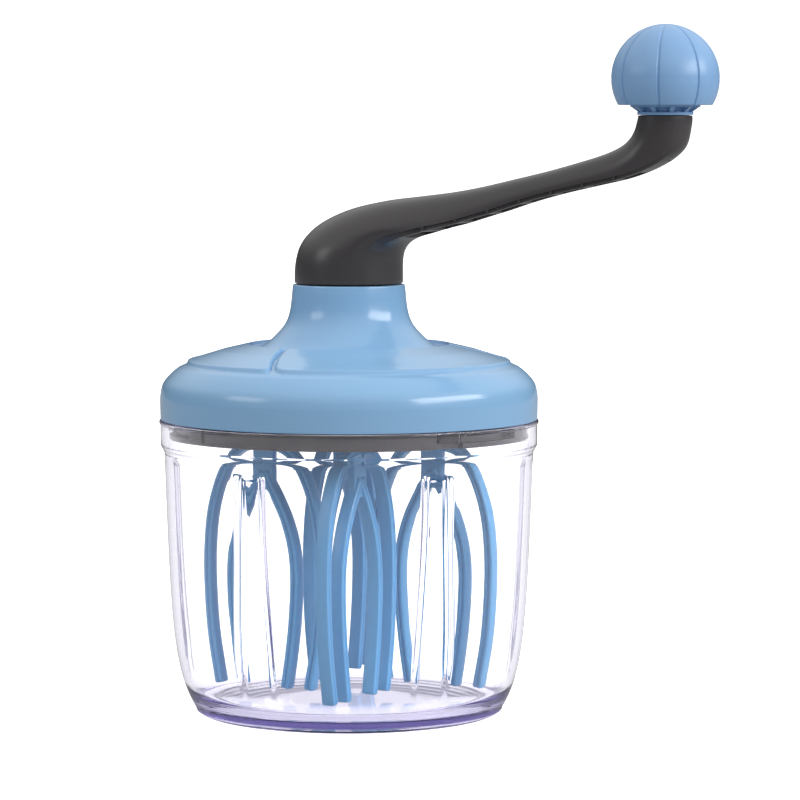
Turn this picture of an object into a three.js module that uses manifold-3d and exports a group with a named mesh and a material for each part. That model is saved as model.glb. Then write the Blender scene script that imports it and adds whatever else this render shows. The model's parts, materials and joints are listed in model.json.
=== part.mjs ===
// Hand-cranked jar beater: a clear fluted jar, a domed lid with a planetary gearbox, a crank with a
// spinning knob, and four whisks that spin as they orbit. Millimetres, +Z up. The origin is the centre
// of the jar's base, and the crank arm points along +X.
import * as THREE from 'three';
import { mergeVertices } from 'three/addons/utils/BufferGeometryUtils.js';
import Module from 'manifold-3d';

const wasm = await Module();
wasm.setup();

// ---------------------------------------------------------------- driving dimensions
const GAP = 0.3; // running or fitting clearance between touching pieces
const RAD = Math.PI / 180;

// jar
const CUP_RIM_Z = 97.5;
const CUP_FLOOR_Z = 4.5;
const CUP_WALL = 2.3;
const CUP_BASE_RADIUS = 46;
const CUP_MOUTH_RADIUS = 58.38; // of the drafted wall carried down to z = 0
const CUP_DRAFT = 0.033; // growth of the radius per millimetre of height
const CUP_CORNER_DROP = 8.6; // how far the rounded bottom corner pulls the radius in
const CUP_CORNER_HEIGHT = 12.5; // height over which that pull fades
const COLLAR_RADIUS = 62.5;
const COLLAR_BORE = 60.3;
const COLLAR_BOTTOM_Z = 87.4;
const LIP_RADIUS = 62.9;
const FLUTE_COUNT = 6;
const FLUTE_FIRST_ANGLE = 20;
const FLUTE_DEPTH = 2.5;
const FLUTE_BOTTOM_Z = 13;
const FLUTE_TOP_Z = 84;
const LUG_COUNT = 3;
const LUG_FIRST_ANGLE = -36;
const LUG_WIDTH = 7.8;
const LUG_BOTTOM_Z = 94;
const LUG_HEIGHT = 3;
const LUG_REACH = 57.8;

// lid, lock ring, seal and neck
const LID_BOTTOM_Z = CUP_RIM_Z + GAP;
const LID_RADIUS = 62.5;
const LID_SKIRT_BORE = 59.1;
const SEAL_RADIUS = 61.4;
const SEAL_BORE = 59.9;
const SEAL_THICKNESS = 1.2;
const NECK_FOOT_RADIUS = 29.5;
const NECK_FOOT_Z = 122;
const NECK_TOP_Z = 142.3;
const NECK_TOP_RADIUS = 18.3;
const SLEEVE_BORE = 8.5;
const SLEEVE_RADIUS = 11;
const SLEEVE_BOTTOM_Z = 120;
const LOCK_BOTTOM_Z = 92;
const LOCK_TOP_Z = 97.3;
const LOCK_RADIUS = 59.6;
const LOCK_BORE = 53;
const LOCK_SLOT_RADIUS = 57.2;
const LOCK_TWIST = 25; // degrees between the lug's entry slot and its locked end

// gear train: four planets roll inside a fixed ring gear
const GEAR_MODULE = 2;
const PRESSURE_ANGLE = 25 * RAD;
const RING_TEETH = 40;
const PLANET_TEETH = 12;
const BACKLASH = 0.3;
const RING_BOTTOM_Z = 99.5;
const RING_TOP_Z = 107.5;
const RING_RADIUS = 49;
const ORBIT_RADIUS = (RING_TEETH - PLANET_TEETH) * GEAR_MODULE / 2;
const BEATER_COUNT = 4;
const BEATER_FIRST_ANGLE = -63;
const WHISK_TURN = -34.5; // the whisk's plane, measured from its own radial direction

// carrier, shaft and fasteners
const CARRIER_RADIUS = 50;
const CARRIER_BOTTOM_Z = 94;
const CARRIER_PLATE_TOP_Z = 97;
const CARRIER_COVER_Z = 108.2;
const CARRIER_COVER_TOP_Z = 110.7;
const CARRIER_COVER_RADIUS = 42;
const POST_RADIUS = 4;
const SHAFT_RADIUS = 4.8;
const SHAFT_BORE = 2.4;
const SHAFT_TOP_Z = 156;
const BOLT_RADIUS = 2;
const BOLT_TOP_Z = 160;
const SPINDLE_RADIUS = 6;
const SPINDLE_HEX_RADIUS = 6.2;
const SPINDLE_PIN_RADIUS = 2.5;
const SPINDLE_SOCKET_TOP_Z = 104;

// whisks
const WHISK_SHANK = { width: 8, thickness: 3, bottom: 76, top: 103.6 };
const PRONG_RADIAL = 3.2;
const PRONG_ACROSS = 4.8;
const OUTER_PRONG = [[1, 88], [9, 87], [16.5, 79.5], [21.2, 62], [21.4, 40], [17.4, 8.8]];
const INNER_PRONG = [[1, 79], [5.5, 71], [11, 58], [12.2, 44], [10.8, 24], [8.5, 8.8]];

// crank and knob
const CRANK_RADIUS = 109;
const HUB_RADIUS = 18;
const HUB_BOTTOM_Z = NECK_TOP_Z + 0.4;
const ARM_END_RADIUS = 8.7;
const ARM_END_Z = 197.9;
const ARM_TOP_EDGE = [[-18, 142.7], [-17.6, 149], [-12, 160.4], [4, 168], [32.8, 172.5], [58.8, 177.5],
  [81.8, 183.4], [96, 189.1], [99.7, 194.5], [100.3, 197.9]];
const ARM_LOWER_EDGE = [[117.7, 197.9], [116.6, 190], [110.5, 183.5], [94.2, 177.4], [72.7, 172.7],
  [51.6, 166.2], [29.6, 160], [21.4, 156.5], [18.4, 151], [18, 142.7]];
const ARM_HALF_WIDTHS = [[12, 14.6], [24, 11.4], [45, 8.8], [80, 7.2], [98, 7.4]];
const RIB_FIRST_X = 30.4;
const RIB_PITCH = 10.6;
const RIB_COUNT = 7;
const RIB_THICKNESS = 1.6;
const ARM_ROOF = 3.2;
const ARM_WALL = 2.4;
const KNOB_RADIUS = 17.6;
const KNOB_CENTRE_Z = 209.7;
const KNOB_CUT_Z = 201.4;
const KNOB_WALL = 2.3;
const KNOB_MOUTH_RADIUS = 13.2;
const KNOB_GORES = 8;
const KNOB_GROOVE = 0.7;
const KNOB_GROOVE_ANGLE = 16.6;
const AXLE_RADIUS = 4;
const AXLE_THREAD_RADIUS = 2.5;
const AXLE_BOTTOM_Z = 184;

// ---------------------------------------------------------------- geometry helpers

// A closed triangle mesh becomes a solid that can be joined and cut.
function toSolid(geometry) {
  const bare = geometry.clone();
  bare.deleteAttribute('normal');
  bare.deleteAttribute('uv');
  const merged = mergeVertices(bare, 1e-4);
  const index = merged.index.array;
  const triangles = [];
  for (let i = 0; i < index.length; i += 3) {
    const [a, b, c] = [index[i], index[i + 1], index[i + 2]];
    if (a !== b && b !== c && c !== a) triangles.push(a, b, c);
  }
  const vertProperties = new Float32Array(merged.attributes.position.array);
  const mesh = new wasm.Mesh({ numProp: 3, vertProperties, triVerts: new Uint32Array(triangles) });
  return new wasm.Manifold(mesh);
}

function toGeometry(solid) {
  const { vertProperties, triVerts } = solid.getMesh();
  const geometry = new THREE.BufferGeometry();
  geometry.setAttribute('position', new THREE.BufferAttribute(new Float32Array(vertProperties), 3));
  geometry.setIndex(new THREE.BufferAttribute(new Uint32Array(triVerts), 1));
  geometry.computeVertexNormals();
  return geometry;
}

function join(first, ...others) {
  return toGeometry(others.reduce((sum, piece) => sum.add(toSolid(piece)), toSolid(first)));
}

function cut(base, ...tools) {
  return toGeometry(tools.reduce((rest, tool) => rest.subtract(toSolid(tool)), toSolid(base)));
}

// Turns an outline of [radius, z] points about the Z axis.
function revolve(outline, segments = 36) {
  const closed = outline[0][0] > 0;
  const points = outline.map(([radius, z]) => new THREE.Vector2(radius, z));
  if (THREE.ShapeUtils.area(points) < 0) points.reverse();
  if (closed) points.push(points[0].clone());
  return new THREE.LatheGeometry(points, segments).rotateX(Math.PI / 2);
}

function tube(bore, radius, z0, z1, segments = 20) {
  return revolve([[bore, z0], [radius, z0], [radius, z1], [bore, z1]], segments);
}

function rod(radius, z0, z1, segments = 20) {
  return revolve([[0, z0], [radius, z0], [radius, z1], [0, z1]], segments);
}

function prism(shape, z0, z1) {
  const options = { depth: z1 - z0, bevelEnabled: false, curveSegments: 10 };
  return new THREE.ExtrudeGeometry(shape, options).translate(0, 0, z0);
}

function box(width, depth, z0, z1) {
  return new THREE.BoxGeometry(width, depth, z1 - z0).translate(0, 0, (z0 + z1) / 2);
}

function circleShape(radius) {
  return new THREE.Shape().absarc(0, 0, radius, 0, 2 * Math.PI, false);
}

function hexShape(radius, turn = 0) {
  const corners = Array.from({ length: 6 }, (_, i) => polar(radius, turn + i * 60));
  return new THREE.Shape(corners);
}

function polar(radius, degrees) {
  return new THREE.Vector2(radius * Math.cos(degrees * RAD), radius * Math.sin(degrees * RAD));
}

// Moves a piece from the Z axis to a place on a circle about it, turned to face outwards.
function atPolar(geometry, radius, degrees) {
  return geometry.translate(radius, 0, 0).rotateZ(degrees * RAD);
}

function spline(points, count) {
  const curve = new THREE.SplineCurve(points.map(([x, y]) => new THREE.Vector2(x, y)));
  return curve.getPoints(count).map((p) => [p.x, p.y]);
}

// Skins rings of equal point count and closes both ends with a fan.
function loft(rings) {
  const count = rings[0].length;
  const positions = rings.flat(2);
  const triangles = [];
  for (let row = 0; row + 1 < rings.length; row += 1) {
    for (let i = 0; i < count; i += 1) {
      const next = (i + 1) % count;
      const [a, b] = [row * count + i, row * count + next];
      const [c, d] = [a + count, b + count];
      triangles.push(a, b, d, a, d, c);
    }
  }
  for (const [row, flip] of [[0, true], [rings.length - 1, false]]) {
    const centre = positions.length / 3;
    for (const axis of [0, 1, 2]) {
      positions.push(rings[row].reduce((sum, point) => sum + point[axis], 0) / count);
    }
    for (let i = 0; i < count; i += 1) {
      const edge = [row * count + i, row * count + (i + 1) % count];
      if (flip) edge.reverse();
      triangles.push(edge[0], edge[1], centre);
    }
  }
  const geometry = new THREE.BufferGeometry();
  geometry.setAttribute('position', new THREE.Float32BufferAttribute(positions, 3));
  geometry.setIndex(triangles);
  return geometry;
}

function ring(radiusAt, z, angles) {
  return angles.map((angle) => {
    const point = polar(radiusAt(angle), angle);
    return [point.x, point.y, z];
  });
}

// A screw on the Z axis: a flat head from headZ downwards or upwards, and a shank to the tip.
function screw(headRadius, headZ, headHeight, shankRadius, tipZ) {
  const side = Math.sign(tipZ - headZ);
  const shoulderZ = headZ + side * headHeight;
  const outline = [[0, headZ], [headRadius, headZ], [headRadius, shoulderZ], [shankRadius, shoulderZ],
    [shankRadius, tipZ], [0, tipZ]];
  return revolve(outline, 12);
}

// ---------------------------------------------------------------- jar

function cupRadius(z) {
  return CUP_MOUTH_RADIUS + CUP_DRAFT * z - CUP_CORNER_DROP * Math.exp(-z / CUP_CORNER_HEIGHT);
}

function makeCup() {
  const offsets = [-20, -7, -3, 3, 7, 10, 20, 30];
  const angles = [];
  for (let flute = 0; flute < FLUTE_COUNT; flute += 1) {
    const centre = FLUTE_FIRST_ANGLE + flute * 360 / FLUTE_COUNT;
    angles.push(...offsets.map((offset) => centre + offset));
  }
  const plain = (radius, z) => ring(() => radius, z, angles);
  const fluted = (inset, z) => ring((angle) => {
    const pitch = 360 / FLUTE_COUNT;
    const offset = Math.abs(((angle - FLUTE_FIRST_ANGLE + pitch / 2 + 360) % pitch) - pitch / 2);
    return cupRadius(z) - inset - (offset < 5 ? FLUTE_DEPTH : 0);
  }, z, angles);
  const straight = (inset, z) => plain(cupRadius(z) - inset, z);
  const levels = [FLUTE_BOTTOM_Z + 4, 32, 56, FLUTE_TOP_Z - 3];
  const rings = [
    plain(CUP_BASE_RADIUS, 0),
    straight(0, 1.2),
    straight(0, 4.5),
    straight(0, 8.5),
    straight(0, FLUTE_BOTTOM_Z),
    ...levels.map((z) => fluted(0, z)),
    straight(0, FLUTE_TOP_Z),
    straight(0, COLLAR_BOTTOM_Z),
    plain(COLLAR_RADIUS, COLLAR_BOTTOM_Z + 1.8),
    plain(COLLAR_RADIUS, CUP_RIM_Z - 1),
    plain(LIP_RADIUS, CUP_RIM_Z - 0.7),
    plain(LIP_RADIUS, CUP_RIM_Z),
    plain(COLLAR_BORE, CUP_RIM_Z),
    plain(COLLAR_BORE, COLLAR_BOTTOM_Z + 2),
    straight(CUP_WALL, FLUTE_TOP_Z),
    ...levels.slice().reverse().map((z) => fluted(CUP_WALL, z)),
    straight(CUP_WALL, FLUTE_BOTTOM_Z),
    plain(51.2, 8.5),
    plain(48.5, 5.6),
    plain(44, CUP_FLOOR_Z),
  ];
  const lugs = [];
  const wallBite = 1;
  const lugLength = COLLAR_BORE + wallBite - LUG_REACH;
  for (let i = 0; i < LUG_COUNT; i += 1) {
    const lug = box(lugLength, LUG_WIDTH, LUG_BOTTOM_Z, LUG_BOTTOM_Z + LUG_HEIGHT);
    lugs.push(atPolar(lug, LUG_REACH + lugLength / 2, LUG_FIRST_ANGLE + i * 360 / LUG_COUNT));
  }
  return join(loft(rings), ...lugs);
}

function makeSeal() {
  return tube(SEAL_BORE, SEAL_RADIUS, LID_BOTTOM_Z, LID_BOTTOM_Z + SEAL_THICKNESS, 36);
}

// ---------------------------------------------------------------- lid

const BOSS_BORE = CARRIER_COVER_RADIUS + 1.5;
const GEAR_POCKET_RADIUS = RING_RADIUS + GAP + 0.1;
const GEAR_WALL_RADIUS = GEAR_POCKET_RADIUS + 2.1;
const GEAR_SCREW_RADIUS = 45.8;
const GEAR_SCREW_ANGLES = [60, 180, 300];
const GEAR_SCREW_SHANK = 1.4;

function makeLidShell() {
  const hole = NECK_FOOT_RADIUS + 0.4;
  const shoulder = spline([[LID_RADIUS + 0.1, 106], [61.5, 109.7], [58, 113.5], [54.4, 116.2]], 4);
  const shell = revolve([
    [LID_RADIUS, LID_BOTTOM_Z],
    ...shoulder,
    [54, 117],
    [41.3, 120.8],
    [32.6, 122.8],
    [32.4, 122],
    [hole, 121.7],
    [hole, 119],
    [41, 117.8],
    [BOSS_BORE, 117.2],
    [BOSS_BORE, RING_TOP_Z + GAP],
    [GEAR_POCKET_RADIUS, RING_TOP_Z + GAP],
    [GEAR_POCKET_RADIUS, LID_BOTTOM_Z + 0.7],
    [GEAR_WALL_RADIUS, LID_BOTTOM_Z + 0.7],
    [GEAR_WALL_RADIUS, 113.8],
    [56.8, 110.9],
    [LID_SKIRT_BORE, 107],
    [LID_SKIRT_BORE, LID_BOTTOM_Z + SEAL_THICKNESS + GAP],
    [SEAL_RADIUS + GAP, LID_BOTTOM_Z + SEAL_THICKNESS + GAP],
    [SEAL_RADIUS + GAP, LID_BOTTOM_Z],
  ], 36);
  const holes = GEAR_SCREW_ANGLES.map((angle) => (
    atPolar(rod(GEAR_SCREW_SHANK + GAP, RING_TOP_Z - 1, RING_TOP_Z + 6, 10), GEAR_SCREW_RADIUS, angle)
  ));
  return cut(shell, ...holes);
}

function makeNeckCone() {
  const flare = [[NECK_FOOT_RADIUS, NECK_FOOT_Z], [25.2, 125], [21, 129.8], [19.4, 134.8],
    [NECK_TOP_RADIUS, NECK_TOP_Z]];
  const wall = 2.3;
  const inner = flare.slice(0, -1).reverse().map(([radius, z]) => [radius - wall, z - 0.4]);
  return revolve([
    [NECK_FOOT_RADIUS, 119.2],
    ...spline(flare, 6),
    [SLEEVE_BORE, NECK_TOP_Z],
    [SLEEVE_BORE, SLEEVE_BOTTOM_Z],
    [SLEEVE_RADIUS, SLEEVE_BOTTOM_Z],
    [SLEEVE_RADIUS, NECK_TOP_Z - wall],
    [NECK_TOP_RADIUS - wall, NECK_TOP_Z - wall],
    ...inner,
    [NECK_FOOT_RADIUS - wall, 119.2],
  ], 28);
}

// The ring that the jar's lugs slide into: an entry slot open at the bottom, and a level track.
function makeLockRing() {
  const spigotRadius = LID_SKIRT_BORE - GAP;
  const body = revolve([
    [LOCK_BORE, LOCK_BOTTOM_Z],
    [LOCK_RADIUS, LOCK_BOTTOM_Z],
    [LOCK_RADIUS, LOCK_TOP_Z],
    [spigotRadius, LOCK_TOP_Z],
    [spigotRadius, 103],
    [LOCK_BORE + 3.5, 103],
    [LOCK_BORE + 3.5, LOCK_TOP_Z],
    [LOCK_BORE, LOCK_TOP_Z],
  ], 40);
  const lugHalfAngle = LUG_WIDTH / 2 / LUG_REACH / RAD + 1;
  const sector = (from, to, z0, z1) => {
    const shape = new THREE.Shape();
    shape.absarc(0, 0, LOCK_RADIUS + 2, from * RAD, to * RAD, false);
    shape.absarc(0, 0, LOCK_SLOT_RADIUS, to * RAD, from * RAD, true);
    return prism(shape, z0, z1);
  };
  const tools = [];
  for (let i = 0; i < LUG_COUNT; i += 1) {
    const entry = LUG_FIRST_ANGLE + i * 360 / LUG_COUNT;
    const trackTop = LUG_BOTTOM_Z + LUG_HEIGHT + 0.2;
    tools.push(sector(entry - lugHalfAngle, entry + lugHalfAngle, LOCK_BOTTOM_Z - 1, trackTop));
    tools.push(sector(entry, entry + LOCK_TWIST + lugHalfAngle, LUG_BOTTOM_Z - 0.3, trackTop));
  }
  return cut(body, ...tools);
}

// ---------------------------------------------------------------- gear train

// Half the angle that an involute tooth takes up at a radius.
function toothHalfAngle(teeth, radius, play) {
  const pitchRadius = teeth * GEAR_MODULE / 2;
  const baseRadius = pitchRadius * Math.cos(PRESSURE_ANGLE);
  const angle = Math.acos(Math.min(1, baseRadius / Math.max(radius, baseRadius)));
  const involute = (a) => Math.tan(a) - a;
  return Math.PI / (2 * teeth) + involute(PRESSURE_ANGLE) - involute(angle) + play / (2 * pitchRadius);
}

function gearOutline(teeth, innerRadius, outerRadius, play) {
  const radii = [innerRadius, (innerRadius + outerRadius) / 2, outerRadius];
  const points = [];
  for (let tooth = 0; tooth < teeth; tooth += 1) {
    const centre = tooth * 360 / teeth;
    const flank = radii.map((radius) => [radius, toothHalfAngle(teeth, radius, play) / RAD]);
    points.push(...flank.map(([radius, half]) => polar(radius, centre - half)));
    points.push(...flank.reverse().map(([radius, half]) => polar(radius, centre + half)));
  }
  return points;
}

function makeRingGear() {
  const pitchRadius = RING_TEETH * GEAR_MODULE / 2;
  const blank = circleShape(RING_RADIUS);
  blank.holes.push(new THREE.Path(gearOutline(RING_TEETH, pitchRadius - 1.2, pitchRadius + 2.2, BACKLASH)));
  for (const angle of GEAR_SCREW_ANGLES) {
    const centre = polar(GEAR_SCREW_RADIUS, angle);
    const hole = new THREE.Path().absarc(centre.x, centre.y, GEAR_SCREW_SHANK + GAP, 0, 2 * Math.PI, true);
    blank.holes.push(hole);
  }
  return prism(blank, RING_BOTTOM_Z, RING_TOP_Z);
}

function makePlanetGear() {
  const pitchRadius = PLANET_TEETH * GEAR_MODULE / 2;
  const outline = gearOutline(PLANET_TEETH, pitchRadius - 2.2, pitchRadius + 1.6, -BACKLASH);
  const blank = new THREE.Shape(outline);
  const bore = hexShape(SPINDLE_HEX_RADIUS + GAP + 0.05, WHISK_TURN).getPoints().reverse();
  blank.holes.push(new THREE.Path(bore));
  return prism(blank, RING_BOTTOM_Z - 0.2, RING_TOP_Z - 0.3);
}

function makeGearScrew() {
  return screw(2.8, RING_BOTTOM_Z - GAP - 1.5, 1.5, GEAR_SCREW_SHANK, RING_TOP_Z + 5);
}

const beaterAngle = (index) => BEATER_FIRST_ANGLE + index * 360 / BEATER_COUNT;
const postAngle = (index) => beaterAngle(index) + 180 / BEATER_COUNT;
const CARRIER_SCREW_SHANK = 1.3;

function makeCarrierPlate() {
  let plate = rod(CARRIER_RADIUS, CARRIER_BOTTOM_Z, CARRIER_PLATE_TOP_Z, 40);
  const posts = [];
  const tools = [
    rod(BOLT_RADIUS + GAP, CARRIER_BOTTOM_Z - 1, CARRIER_PLATE_TOP_Z + 1),
    rod(7, CARRIER_BOTTOM_Z - 1, CARRIER_BOTTOM_Z + 1.6),
  ];
  for (let i = 0; i < BEATER_COUNT; i += 1) {
    const postTop = CARRIER_COVER_Z - GAP;
    posts.push(atPolar(rod(POST_RADIUS, CARRIER_BOTTOM_Z + 1, postTop, 16), ORBIT_RADIUS, postAngle(i)));
    const screwHole = rod(CARRIER_SCREW_SHANK + GAP, CARRIER_PLATE_TOP_Z, CARRIER_COVER_Z + 1, 10);
    tools.push(atPolar(screwHole, ORBIT_RADIUS, postAngle(i)));
    const bearing = rod(SPINDLE_RADIUS + GAP, CARRIER_BOTTOM_Z - 1, CARRIER_PLATE_TOP_Z + 1);
    tools.push(atPolar(bearing, ORBIT_RADIUS, beaterAngle(i)));
  }
  plate = join(plate, ...posts);
  return cut(plate, ...tools);
}

function makeCarrierCover() {
  const cover = rod(CARRIER_COVER_RADIUS, CARRIER_COVER_Z, CARRIER_COVER_TOP_Z, 36);
  const [below, above] = [CARRIER_COVER_Z - 1, CARRIER_COVER_TOP_Z + 1];
  const tools = [prism(hexShape(SHAFT_RADIUS + GAP + 0.05), below, above)];
  for (let i = 0; i < BEATER_COUNT; i += 1) {
    const pinHole = rod(SPINDLE_PIN_RADIUS + GAP, below, above, 16);
    tools.push(atPolar(pinHole, ORBIT_RADIUS, beaterAngle(i)));
    const screwHole = rod(CARRIER_SCREW_SHANK + GAP, below, above, 10);
    tools.push(atPolar(screwHole, ORBIT_RADIUS, postAngle(i)));
  }
  return cut(cover, ...tools);
}

function makeCarrierScrew() {
  return screw(2.6, CARRIER_COVER_TOP_Z + GAP + 1.6, 1.6, CARRIER_SCREW_SHANK, CARRIER_PLATE_TOP_Z + 2);
}

// ---------------------------------------------------------------- shaft and bushes

function makeDriveShaft() {
  const bottom = CARRIER_PLATE_TOP_Z + GAP;
  const hex = prism(hexShape(SHAFT_RADIUS), bottom, SHAFT_TOP_Z);
  const journal = rod(SHAFT_RADIUS, SLEEVE_BOTTOM_Z - 4, NECK_TOP_Z, 24);
  return cut(join(hex, journal), rod(SHAFT_BORE, bottom - 1, SHAFT_TOP_Z + 1, 16));
}

function makeDriveBolt() {
  return screw(4.5, CARRIER_BOTTOM_Z - 1.8, 1.9, BOLT_RADIUS, BOLT_TOP_Z);
}

function makeBoltWasher() {
  return tube(BOLT_RADIUS + GAP, 6.5, CARRIER_BOTTOM_Z + 0.4, CARRIER_BOTTOM_Z + 1.3, 20);
}

const BUSH_BORE = SHAFT_RADIUS + GAP;
const BUSH_RADIUS = SLEEVE_BORE - GAP;

function makeUpperBush() {
  return tube(BUSH_BORE, BUSH_RADIUS, NECK_TOP_Z - 9.3, NECK_TOP_Z - GAP);
}

function makeLowerBush() {
  const flangeTop = SLEEVE_BOTTOM_Z - GAP;
  return revolve([
    [BUSH_BORE, flangeTop - 2.5],
    [SLEEVE_RADIUS - 0.2, flangeTop - 2.5],
    [SLEEVE_RADIUS - 0.2, flangeTop],
    [BUSH_RADIUS, flangeTop],
    [BUSH_RADIUS, SLEEVE_BOTTOM_Z + 8],
    [BUSH_BORE, SLEEVE_BOTTOM_Z + 8],
  ], 24);
}

// ---------------------------------------------------------------- spindles and whisks

function makeSpindle() {
  const flangeBottom = CARRIER_PLATE_TOP_Z + GAP;
  const flangeTop = flangeBottom + 1.3;
  const hexTop = CARRIER_COVER_Z - 0.8;
  const turned = revolve([
    [0, CARRIER_BOTTOM_Z + GAP],
    [SPINDLE_RADIUS, CARRIER_BOTTOM_Z + GAP],
    [SPINDLE_RADIUS, flangeBottom],
    [8, flangeBottom],
    [8, flangeTop],
    [5, flangeTop],
    [5, hexTop],
    [SPINDLE_PIN_RADIUS, hexTop],
    [SPINDLE_PIN_RADIUS, CARRIER_COVER_TOP_Z + 1.8],
    [0, CARRIER_COVER_TOP_Z + 1.8],
  ], 20);
  const hex = prism(hexShape(SPINDLE_HEX_RADIUS), flangeTop - 0.5, hexTop);
  const { width, thickness } = WHISK_SHANK;
  const socket = box(width + 2 * GAP, thickness + 2 * GAP, CARRIER_BOTTOM_Z - 1, SPINDLE_SOCKET_TOP_Z);
  return cut(join(turned, hex), socket);
}

// An open spring clip that snaps over the spindle's pin, above the carrier's cover.
function makeSpindleClip() {
  const [from, to] = [25 * RAD, 335 * RAD];
  const shape = new THREE.Shape();
  shape.absarc(0, 0, 5, from, to, false);
  shape.absarc(0, 0, SPINDLE_PIN_RADIUS + GAP, to, from, true);
  return prism(shape, CARRIER_COVER_TOP_Z + GAP, CARRIER_COVER_TOP_Z + 1.2);
}

// One prong: a rounded bar along a curve in the whisk's own plane.
function makeProng(points, side) {
  const path = new THREE.CatmullRomCurve3(points.map(([u, z]) => new THREE.Vector3(u * side, 0, z)));
  const [a, b, chamfer] = [PRONG_ACROSS / 2, PRONG_RADIAL / 2, 0.9];
  const section = new THREE.Shape([[a, 0], [a - chamfer, b], [chamfer - a, b], [-a, 0],
    [chamfer - a, -b], [a - chamfer, -b]].map(([x, y]) => new THREE.Vector2(x, y)));
  return new THREE.ExtrudeGeometry(section, { steps: 10, extrudePath: path, bevelEnabled: false });
}

function makeWhisk() {
  const { width, thickness, bottom, top } = WHISK_SHANK;
  const prongs = [];
  for (const side of [-1, 1]) {
    prongs.push(makeProng(OUTER_PRONG, side));
    prongs.push(makeProng(INNER_PRONG, side));
  }
  return join(box(width, thickness, bottom, top), ...prongs);
}

// ---------------------------------------------------------------- crank and knob

const armTop = spline(ARM_TOP_EDGE, 26);
const armBottom = spline(ARM_LOWER_EDGE, 24);

function heightAt(edge, x) {
  const points = edge[0][0] > edge[edge.length - 1][0] ? edge.slice().reverse() : edge;
  const i = points.findIndex(([px], k) => k > 0 && px >= x);
  const [[x0, z0], [x1, z1]] = [points[i - 1], points[i]];
  return z0 + (z1 - z0) * (x - x0) / (x1 - x0);
}

// Extrudes an outline drawn in X and Z to a width in Y, centred on the arm's plane.
function slab(outline, width) {
  const shape = new THREE.Shape(outline.map(([x, z]) => new THREE.Vector2(x, z)));
  const geometry = new THREE.ExtrudeGeometry(shape, { depth: width, bevelEnabled: false });
  return geometry.translate(0, 0, -width / 2).rotateX(Math.PI / 2);
}

function makeCrankArm() {
  const side = slab([...armTop, ...armBottom], 2 * HUB_RADIUS + 2);
  const edge = ARM_HALF_WIDTHS.map(([x, y]) => new THREE.Vector2(x, y));
  const mirrored = edge.map((p) => new THREE.Vector2(p.x, -p.y));
  const outline = new THREE.Shape();
  outline.absarc(0, 0, HUB_RADIUS, 60 * RAD, 300 * RAD, false);
  outline.splineThru(mirrored);
  outline.absarc(CRANK_RADIUS, 0, ARM_END_RADIUS, -110 * RAD, 110 * RAD, false);
  outline.splineThru(edge.slice().reverse());
  const plan = prism(new THREE.Shape(outline.getPoints(5)), HUB_BOTTOM_Z - 1, ARM_END_Z + 1);
  const arm = toSolid(side).intersect(toSolid(plan));
  const bays = [];
  for (let i = -1; i < RIB_COUNT; i += 1) {
    const from = RIB_FIRST_X + i * RIB_PITCH + RIB_THICKNESS / 2;
    const to = Math.min(from + RIB_PITCH - RIB_THICKNESS, CRANK_RADIUS - ARM_END_RADIUS - 1);
    const narrowest = ARM_HALF_WIDTHS.findLast(([x]) => x < to)[1];
    const roof = (x) => [x, heightAt(armTop, x) - ARM_ROOF];
    const floor = (x) => [x, heightAt(armBottom, x) - 6];
    bays.push(slab([roof(from), roof(to), floor(to), floor(from)], 2 * (narrowest - 1 - ARM_WALL)));
  }
  const socket = prism(hexShape(SHAFT_RADIUS + GAP + 0.05), HUB_BOTTOM_Z - 1, SHAFT_TOP_Z + GAP);
  const boltHole = rod(BOLT_RADIUS + GAP, SHAFT_TOP_Z - 1, BOLT_TOP_Z + GAP, 12);
  const axleHole = rod(AXLE_THREAD_RADIUS + GAP, AXLE_BOTTOM_Z - GAP, ARM_END_Z + 1, 12);
  axleHole.translate(CRANK_RADIUS, 0, 0);
  return cut(toGeometry(arm), ...bays, socket, boltHole, axleHole);
}

function makeKnobCap() {
  const perGore = 3;
  const step = 360 / KNOB_GORES / perGore;
  const angles = Array.from({ length: KNOB_GORES * perGore }, (_, i) => KNOB_GROOVE_ANGLE + i * step);
  const cutAngle = Math.asin((KNOB_CENTRE_Z - KNOB_CUT_Z) / KNOB_RADIUS) / RAD;
  const latitudes = [-cutAngle, -10, 10, 30, 48, 67, 86];
  const outer = latitudes.map((latitude) => ring((angle) => {
    const column = Math.round((angle - KNOB_GROOVE_ANGLE) / step);
    const groove = column % perGore === 0 ? KNOB_GROOVE : 0;
    return (KNOB_RADIUS - groove) * Math.cos(latitude * RAD);
  }, KNOB_CENTRE_Z + KNOB_RADIUS * Math.sin(latitude * RAD), angles));
  const bore = KNOB_RADIUS - KNOB_WALL;
  const inner = [75, 45, 15, -15].map((latitude) => (
    ring(() => bore * Math.cos(latitude * RAD), KNOB_CENTRE_Z + bore * Math.sin(latitude * RAD), angles)
  ));
  return loft([...inner, ring(() => KNOB_MOUTH_RADIUS, KNOB_CUT_Z, angles), ...outer]);
}

function makeKnobBase() {
  const bore = AXLE_RADIUS + GAP;
  const plug = KNOB_MOUTH_RADIUS - GAP - 0.1;
  return revolve([
    [bore, ARM_END_Z + 0.5],
    [9, ARM_END_Z + 0.5],
    [8.6, ARM_END_Z + 0.9],
    [11, 199.8],
    [11, KNOB_CUT_Z],
    [plug, KNOB_CUT_Z],
    [plug, KNOB_CUT_Z + 2],
    [7.6, KNOB_CUT_Z + 2],
    [7.6, 210.5],
    [bore, 210.5],
  ], 24);
}

function makeKnobAxle() {
  return revolve([
    [0, AXLE_BOTTOM_Z],
    [AXLE_THREAD_RADIUS, AXLE_BOTTOM_Z],
    [AXLE_THREAD_RADIUS, ARM_END_Z + GAP],
    [AXLE_RADIUS, ARM_END_Z + GAP],
    [AXLE_RADIUS, 212.1],
    [6.5, 212.1],
    [6.5, 214.6],
    [0, 214.6],
  ], 20);
}

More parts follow.
